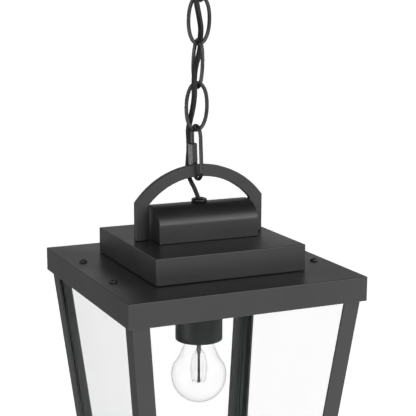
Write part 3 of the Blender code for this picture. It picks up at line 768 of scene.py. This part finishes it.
# Ceiling fitting: a spun steel canopy, held up by a knurled collar on the threaded hub of a cast
# loop. The hub screws onto a zinc-plated nipple locked in a slotted crossbar behind the canopy.
canopy_radius, canopy_depth = 0.0635, 0.026
loop_radius, loop_rod = 0.015, 0.0022
hub_foot = -0.0365
bar_half_long, bar_half_wide, bar_thick = 0.0525, 0.008, 0.003
slot_middle, slot_half, slot_round = 0.033, 0.0035, 0.0025
tube_out, tube_core, tube_bore, tube_pitch, nipple_long = 0.0050, 0.0046, 0.0033, 0.0013, 0.022
nipple_nut_place = -0.0075
teeth, tooth_deep = 60, 0.00035
canopy_outside = [(canopy_radius - 0.0004, 0), (canopy_radius, -0.0005), (canopy_radius, -0.0036),
                  (0.0630, -0.0050), (0.0608, -0.0076), (0.0568, -0.0108), (0.0520, -0.0143),
                  (0.0462, -0.0177), (0.0400, -0.0208), (0.0335, -0.0234), (0.0270, -0.0251),
                  (0.0215, -0.0258), (0.0184, -canopy_depth), (0.0180, -canopy_depth + 0.0003)]
canopy_inside = [(0.0180, -0.0242), (0.0270, -0.0233), (0.0335, -0.0215), (0.0392, -0.0190),
                 (0.0450, -0.0161), (0.0506, -0.0126), (0.0552, -0.0092), (0.0590, -0.0060),
                 (0.0612, -0.0035), (canopy_radius - sheet, -0.0020), (canopy_radius - sheet, 0)]
canopy = turned_piece("ceiling_canopy_bowl", canopy_outside + canopy_inside, 128)
place(canopy, Matrix.Identity(4), "canopy_cover", ["ceiling_canopy"], "black_metal", powder_coat)


def knurl(point, angle):
    """Shallow teeth round the collar's rim, on the points that make up the grip."""
    return -tooth_deep * (0.5 + 0.5 * math.cos(teeth * angle)) if point in (2, 3, 4) else 0


collar_top = -canopy_depth - clearance
collar_profile = [(0.0177, collar_top), (0.0214, collar_top), (0.0223, collar_top - 0.0012),
                  (0.0223, collar_top - 0.0036), (0.0223, collar_top - 0.0060),
                  (0.0212, collar_top - 0.0075), (0.0186, collar_top - 0.0075),
                  (0.0177, collar_top - 0.0066)]
collar = turned_piece("knurled_collar", collar_profile, 360, knurl)
place(collar, Matrix.Identity(4), "canopy_cover", ["canopy_collar"], "black_metal", powder_coat)

hub_profile = [(0.0036, -0.0225), (0.0166, -0.0225)]
hub_profile += [point for i in range(9) for point in ((0.0172, -0.0231 - 0.0012 * i),
                                                       (0.0166, -0.0237 - 0.0012 * i))]
hub_profile += [(0.0170, -0.0340), (0.0167, -0.0350), (0.0157, -0.0359), (0.0142, -0.0364),
                (0.0120, hub_foot), (0.0046, hub_foot), (0.0036, -0.0356)]
hub = turned_piece("ceiling_loop_hub", hub_profile, 96)
loop_middle = chain_end.z + roof_top - link_rod - loop_rod - clearance + loop_radius
loop_line = [Vector((0, y, z)) for y, z in arc_points((0, loop_middle), loop_radius, 128, 412, 90)]
loop_work = bmesh.new()
add_wire(loop_work, loop_line, loop_rod, 24)
ring_piece = make_piece("ceiling_loop_ring", loop_work, 50)
joining = hub.modifiers.new("casting", "BOOLEAN")
joining.operation = "UNION"
joining.solver = "EXACT"
joining.object = ring_piece
settled(hub)
bpy.data.objects.remove(ring_piece, do_unlink=True)
place(hub, Matrix.Identity(4), "ceiling_mount", ["canopy_loop"], "black_metal", powder_coat)

nipple_profile = threaded(tube_out, tube_core, -nipple_long, -clearance, tube_pitch)
nipple_profile += [(tube_bore, -nipple_long), (tube_bore, -clearance)]
nipple = turned_piece("hollow_nipple", nipple_profile, 48)
place(nipple, Matrix.Identity(4), "ceiling_mount", ["canopy_nipple"], "zinc_steel", zinc)
lock_nut = settled(hex_piece("nipple_lock_nut", nut_across, nut_bore, nut_high))
place(lock_nut, Matrix.Translation((0, 0, nipple_nut_place)), "ceiling_mount", ["nipple_locknut"],
      "zinc_steel", zinc)
bar_end = [(sx * bar_half_long, sy * bar_half_wide)
           for sx, sy in ((-1, -1), (1, -1), (1, 1), (-1, 1))]
crossbar = prism_piece("slotted_crossbar", bar_end, -bar_thick, 0)
slots = [drill(nut_bore, -0.02, 0.02)]
for sx in (-1, 1):
    ends = arc_points((sx * slot_middle + slot_half, 0), slot_round, -90, 90, 9)
    ends += arc_points((sx * slot_middle - slot_half, 0), slot_round, 90, 270, 9)
    slots.append(prism_piece("slot", ends, -0.02, 0.02))
settled(crossbar, 0.0004, 2, slots)
place(crossbar, Matrix.Identity(4), "ceiling_mount", ["mounting_crossbar"], "zinc_steel", zinc)

# Glazed body: four angle posts that taper downwards, welded between a flat top frame and a foot
# frame. They are powder coated like the roof, with a clear pane lying inside each pair.
taper, corner_at_eaves, eaves = 0.11, 0.122, -0.026
post_top, post_foot, post_flange, post_thick = -0.0056, -0.338, 0.018, 0.0025
frame_half, frame_opening = 0.121, 0.096
frame_top, frame_low = -0.0023, -0.0053
strap_screw_x, strap_screw_tap = 0.104, 0.0019
body_foot, sill_wide = -0.350, 0.016


def corner_at(height):
    """Half the width of the glazed body, at a height."""
    return corner_at_eaves - taper * (eaves - height)


def flat_ring(name, outer, inner, low, high, cutters=()):
    """A flat square ring with slightly eased edges."""
    work = bmesh.new()
    rows = [[work.verts.new((x, y, z)) for x, y in square(reach)]
            for reach, z in ((outer, low), (outer, high), (inner, high), (inner, low))]
    for first, second in zip(rows, rows[1:] + rows[:1]):
        for k in range(4):
            work.faces.new((first[k], first[(k + 1) % 4], second[(k + 1) % 4], second[k]))
    return settled(make_piece(name, work), 0.0005, 2, cutters)


frame_cuts = [drill(roof_screw_hole, -0.01, 0.01, spot, screw_hole_sides)
              for spot in roof_screw_places]
frame_cuts += [drill(strap_screw_tap, -0.01, 0.01, (sx * strap_screw_x, 0), screw_hole_sides)
               for sx in (-1, 1)]
head_frame = flat_ring("body_top_frame", frame_half, frame_opening, frame_low, frame_top, frame_cuts)
place(head_frame, at_roof, "lantern", ["top_frame"], "black_metal", powder_coat)
foot_half = corner_at(post_foot)
sill = flat_ring("body_foot_frame", foot_half, foot_half - sill_wide, body_foot,
                 post_foot - clearance)
place(sill, at_roof, "lantern", ["foot_frame"], "black_metal", powder_coat)
angle_section = [(0, 0), (-post_flange, 0), (-post_flange, -post_thick), (-post_thick, -post_thick),
                 (-post_thick, -post_flange), (0, -post_flange)]
for number in range(4):
    post = prism_piece(f"angle_post_{number + 1}", angle_section, post_foot, post_top, (taper, taper))
    post.data.transform(Matrix.Translation((foot_half, foot_half, 0)))
    settled(post, 0.0006, 3)
    place(post, at_roof @ Matrix.Rotation(math.radians(90 * number), 4, "Z"), "lantern",
          [f"corner_post_{number + 1}"], "black_metal", powder_coat)

# Panes: 3 mm clear float glass cut to the taper, with arrised edges that look dark green. They
# stand on the foot frame behind the posts' flanges.
glass_thick, glass_top, glass_gap = 0.003, -0.0095, 0.001
least_mirror, most_mirror = 0.006, 0.5
glass_foot = post_foot + clearance
pane_tall = glass_top - glass_foot
pane_middle = (glass_top + glass_foot) / 2


def clear_glass(name, tint, smear):
    """Clear glass as a thin mirror that shows more the more it is seen edge on."""
    finish = Finish(name, Metallic=1.0)
    facing = finish.tree.nodes.new("ShaderNodeLayerWeight")
    edge_on = finish.tree.nodes.new("ShaderNodeMath")
    edge_on.operation = "POWER"
    edge_on.inputs[1].default_value = 5.0
    finish.tree.links.new(facing.outputs["Facing"], edge_on.inputs[0])
    glance = finish.ranged(edge_on.outputs["Value"], least_mirror, most_mirror, 0.0, 1.0)
    streaks = finish.noise(18, 4, 0.6, (1, 1, 0.35))
    finish.tinted(streaks, tuple(0.86 * c for c in tint), tint)
    film = finish.ranged(streaks, 0.002, 0.002 + smear)
    finish.drive("Alpha", finish.sum_of(glance, film))
    finish.drive("Roughness", finish.ranged(finish.noise(30, 3), 0.01, 0.05))
    return finish


pane_glass = clear_glass("clear_float_glass", (0.25, 0.28, 0.27), 0.010)
pane_edge = Finish("ground_glass_edge", Alpha=0.75, IOR=1.5)
pane_edge.tinted(pane_edge.noise(300, 3), (0.05, 0.085, 0.075), (0.11, 0.16, 0.14))
pane_edge.drive("Roughness", pane_edge.ranged(pane_edge.noise(900, 2), 0.25, 0.5))
side_top, side_foot = (corner_at(z) - post_thick - glass_thick - glass_gap
                       for z in (glass_top, glass_foot))
pane_outline = [(side_top, pane_tall / 2), (-side_top, pane_tall / 2),
                (-side_foot, -pane_tall / 2), (side_foot, -pane_tall / 2)]
pane_lean = Matrix.Identity(4)
pane_lean[1][2] = -taper
pane_inset = post_thick + glass_thick / 2 + clearance
for number, side_name in enumerate(("front", "right", "back", "left")):
    pane = prism_piece(f"pane_{side_name}", pane_outline, -glass_thick / 2, glass_thick / 2)
    settled(pane, 0.0004, 1)
    pane.data.transform(upright)
    shift = Matrix.Translation((0, -corner_at(pane_middle) + pane_inset, pane_middle))
    turn = at_roof @ Matrix.Rotation(math.radians(90 * number), 4, "Z") @ shift @ pane_lean
    place(pane, turn, "lantern", [f"glass_{side_name}"], "clear_glass", pane_glass, pane_edge)
    for face in pane.data.polygons:
        face.material_index = 0 if face.area > 0.005 else 1

# Lamp holder: a zinc-plated strap screwed up under the top frame carries a hollow threaded stem,
# locked by a nut. The stem holds a black enamelled cup round a glazed ceramic lamp socket.
strap_top, strap_deep = -0.0059, 0.003
strap_half_long, strap_half_wide, strap_hole = 0.11, 0.012, 0.0022
strap_head, strap_shank, strap_screw_long, strap_head_high = 0.0038, 0.0016, 0.0055, 0.00235
strap_screw_seat, stem_nut_place = -0.0092, -0.0056
stem_foot, stem_head = -0.03, 0.003
stem_profile = threaded(tube_out, tube_core, stem_foot, stem_head, tube_pitch)
stem_profile += [(tube_bore, stem_foot), (tube_bore, stem_head)]
strap_outline = [(sx * strap_half_long, sy * strap_half_wide)
                 for sx, sy in ((-1, -1), (1, -1), (1, 1), (-1, 1))]
strap = prism_piece("lamp_strap", strap_outline, strap_top - strap_deep, strap_top)
strap_cuts = [drill(nut_bore, -0.02, 0.02)]
strap_cuts += [drill(strap_hole, -0.02, 0.02, (sx * strap_screw_x, 0), screw_hole_sides)
               for sx in (-1, 1)]
place(settled(strap, 0.0004, 2, strap_cuts), at_roof, "lantern", ["socket_strap"], "zinc_steel",
      zinc)
for number, sx in enumerate((-1, 1), 1):
    screw = pan_head(f"strap_pan_screw_{number}", strap_head, strap_shank, strap_screw_long,
                     strap_head_high)
    spot = Matrix.Translation((sx * strap_screw_x, 0, strap_screw_seat))
    place(screw, at_roof @ spot @ Matrix.Rotation(math.pi, 4, "X"), "lantern",
          [f"strap_screw_{number}"], "zinc_steel", zinc)
place(turned_piece("threaded_stem", stem_profile, 48), at_roof, "lantern", ["stem"], "zinc_steel",
      zinc)
stem_nut = settled(hex_piece("stem_lock_nut", nut_across, nut_bore, nut_high))
place(stem_nut, at_roof @ Matrix.Translation((0, 0, stem_nut_place)), "lantern", ["stem_nut"],
      "zinc_steel", zinc)
cup_profile = [(0.0053, -0.0180), (0.0188, -0.0180), (0.0215, -0.0183), (0.0233, -0.0192),
               (0.0244, -0.0207), (0.0250, -0.0230), (0.0250, -0.0770), (0.0250, -0.0835),
               (0.0247, -0.0840), (0.0237, -0.0840), (0.0234, -0.0835), (0.0234, -0.0236),
               (0.0229, -0.0214), (0.0216, -0.0201), (0.0195, -0.0196), (0.0053, -0.0196)]
cup = turned_piece("socket_cover_cup", cup_profile, 96)
# The cup is black enamel, tinted darker than the roof's powder coat. The extra darkness is painted
# shade for the dim inside of the lantern where the cup hangs.
cup_enamel_with_painted_shade = Finish("black_cup_enamel", Specular_IOR_Level=0.22)
cup_enamel_with_painted_shade.tinted(cup_enamel_with_painted_shade.noise(180, 3), (0.003, 0.003, 0.003), (0.007, 0.007, 0.007))
cup_enamel_with_painted_shade.drive("Roughness", cup_enamel_with_painted_shade.ranged(cup_enamel_with_painted_shade.noise(700, 2), 0.34, 0.46))
place(cup, at_roof, "lantern", ["socket_cup"], "black_metal", cup_enamel_with_painted_shade)
socket_profile = [(0.0053, -0.0205), (0.0112, -0.0205), (0.0125, -0.0212), (0.0138, -0.0240),
                  (0.0152, -0.0280), (0.0165, -0.0310), (0.0180, -0.0338), (0.0188, -0.0354),
                  (0.0190, -0.0372), (0.0190, -0.0755), (0.0186, -0.0766), (0.0178, -0.0770),
                  (0.0146, -0.0770), (0.0140, -0.0764), (0.0138, -0.0752), (0.0138, -0.0405),
                  (0.0053, -0.0405)]
ceramic = Finish("glazed_ceramic", IOR=1.5, Coat_Weight=0.5)
ceramic.tinted(ceramic.noise(60, 4), (0.66, 0.64, 0.58), (0.80, 0.78, 0.73))
ceramic.drive("Roughness", ceramic.ranged(ceramic.noise(260, 3), 0.16, 0.30))
ceramic.raised(ceramic.noise(220, 3), 0.00006)
place(turned_piece("ceramic_lamp_socket", socket_profile, 72), at_roof, "lantern", ["lamp_socket"],
      "socket_ceramic", ceramic)
lead_work = bmesh.new()
lead_top, lead_long, lead_steps = 0.0505, 0.0895, 80
lead_heights = [lead_top - lead_long * i / lead_steps for i in range(lead_steps + 1)]
for k in range(strand_count):
    turns = [(z, 2 * math.pi * (k / strand_count + z / strand_pitch)) for z in lead_heights]
    strand_line = [Vector((strand_reach * math.cos(a), strand_reach * math.sin(a), z))
                   for z, a in turns]
    add_wire(lead_work, strand_line, strand_radius, strand_sides)
place(make_piece("inner_lead_wires", lead_work), at_roof, "lantern", ["inner_lead"],
      "cord_jacket", pvc)

# Lamp: a screw-cap lamp with a rolled brass thread, a black insulator and a centre contact. Its
# blown glass bulb is hollow, with a glass mount and a long squirrel-cage filament inside.
cap_pitch = 0.0036
cap_low, cap_high = -0.0715, -0.0480
cap_rows, cap_radius, thread_deep, thread_fade = 40, 0.0133, 0.0007, 0.002


def rolled(point, angle):
    """The rolled thread of the lamp's cap, a rounded ridge that climbs as it goes round."""
    if not 4 <= point < 4 + cap_rows:
        return 0
    level = cap_high + (cap_low - cap_high) * (point - 4) / (cap_rows - 1)
    fade = min(1.0, (cap_high - level) / thread_fade, (level - cap_low) / thread_fade)
    return -thread_deep * fade * (0.5 + 0.5 * math.cos(2 * math.pi * level / cap_pitch - angle))


cap_profile = [(0, -0.0425), (0.0046, -0.0425), (0.0055, -0.0434), (0.0128, -0.0474)]
cap_profile += [(cap_radius, cap_high + (cap_low - cap_high) * i / (cap_rows - 1))
                for i in range(cap_rows)]
cap_profile += [(0.0131, -0.0724), (0.0126, -0.0732), (0.0105, -0.0735), (0, -0.0735)]
cap = turned_piece("lamp_screw_cap", cap_profile, 72, rolled)
brass = plated("lamp_brass", (0.66, 0.50, 0.25), 0.26)
insulator = Finish("black_glass_insulator", IOR=1.5)
insulator.tinted(insulator.noise(200, 3), (0.006, 0.006, 0.008), (0.02, 0.02, 0.026))
insulator.drive("Roughness", insulator.ranged(insulator.noise(300, 2), 0.1, 0.25))
place(cap, at_roof, "lamp", ["lamp_base"], "lamp_brass", brass, insulator)
for face in cap.data.polygons:
    middle = face.center.z - roof_top
    face.material_index = 1 if -0.0472 < middle < -0.0428 and face.normal.z > 0.2 else 0
bulb_tip, bulb_middle, bulb_radius, bulb_rise = 0.1539, 0.124, 0.0297, 0.0299
bulb_outside = [(0.0112, -0.0738), (0.0124, -0.0741), (0.0127, -0.0748), (0.0129, -0.0775),
                (0.0133, -0.0800), (0.0142, -0.0848), (0.0154, -0.0888), (0.0168, -0.0925),
                (0.0196, -0.0992), (0.0228, -0.1062), (0.0252, -0.1098)]
bulb_outside += [(bulb_radius * math.cos(a), -bulb_middle - bulb_rise * math.sin(a))
                 for a in [math.radians(d) for d in range(-22, 90, 7)]]
glass_wall = 0.0007
bulb_inside = []
for before, point, after in zip(bulb_outside[:1] + bulb_outside, bulb_outside,
                                bulb_outside[1:] + [(0, -bulb_tip)]):
    along = Vector((after[0] - before[0], after[1] - before[1])).normalized()
    bulb_inside.append((max(0.0005, point[0] + along.y * glass_wall),
                        point[1] - along.x * glass_wall))
bulb_profile = [(0, -bulb_tip)] + bulb_outside[::-1] + bulb_inside + [(0, -bulb_tip + glass_wall)]
bulb = turned_piece("lamp_bulb_glass", bulb_profile, 72)
bulb_glass = clear_glass("blown_bulb_glass", (0.93, 0.93, 0.92), 0.02)
place(bulb, at_roof, "lamp", ["lamp_bulb"], "bulb_glass", bulb_glass)
mount_profile = [(0.0075, -0.0745), (0.0068, -0.0775), (0.0042, -0.0805), (0.0026, -0.0860),
                 (0.0022, -0.0930), (0.0028, -0.0965), (0.0020, -0.0985), (0.0014, -0.1040),
                 (0.0014, -0.1300), (0.0020, -0.1316), (0.0014, -0.1330), (0, -0.1334)]
mount_profile = [(0, -0.0745)] + mount_profile
glass_mount = turned_piece("filament_glass_mount", mount_profile, 32)
mount_glass = clear_glass("filament_mount_glass", (0.90, 0.92, 0.90), 0.06)
glass_mount.data.transform(at_roof)
glass_mount.data.materials.append(mount_glass.material)
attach(glass_mount, "lamp")
filament_work = bmesh.new()
cage_posts, cage_steps = 6, 12
cage_low, cage_high = -0.1325, -0.1015
cage_reach, cage_bow = 0.0068, 0.0022
cage_line = []
for k in range(2 * cage_posts):
    ends = (cage_high, cage_low) if k % 2 else (cage_low, cage_high)
    a = math.pi * k / cage_posts
    for i in range(cage_steps):
        z = ends[0] + (ends[1] - ends[0]) * i / cage_steps
        bow = cage_reach + cage_bow * math.sin(math.pi * i / cage_steps)
        cage_line.append(Vector((bow * math.cos(a), bow * math.sin(a), z)))
add_wire(filament_work, cage_line, 0.00012, 6)
for a in (0.0, math.pi):
    lead = [(0.0012, -0.0900), (0.0022, -0.0960), (0.0048, -0.1000), (0.0068, -0.1015)]
    add_wire(filament_work, [Vector((r * math.cos(a), r * math.sin(a), z)) for r, z in lead],
             0.00025, 8)
for k in range(cage_posts):
    a = 2 * math.pi * (k + 0.5) / cage_posts
    for level in (-0.0975, -0.1312):
        arm = [Vector((r * math.cos(a), r * math.sin(a), level - 0.3 * (r - 0.001) * (level > -0.11)))
               for r in (0.0012, 0.5 * cage_reach, cage_reach)]
        add_wire(filament_work, arm, 0.00015, 6)
filament = make_piece("lamp_filament", filament_work)
tungsten = plated("tungsten_wire", (0.34, 0.33, 0.32), 0.4)
filament.data.transform(at_roof)
filament.data.materials.append(tungsten.material)
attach(filament, "lamp")
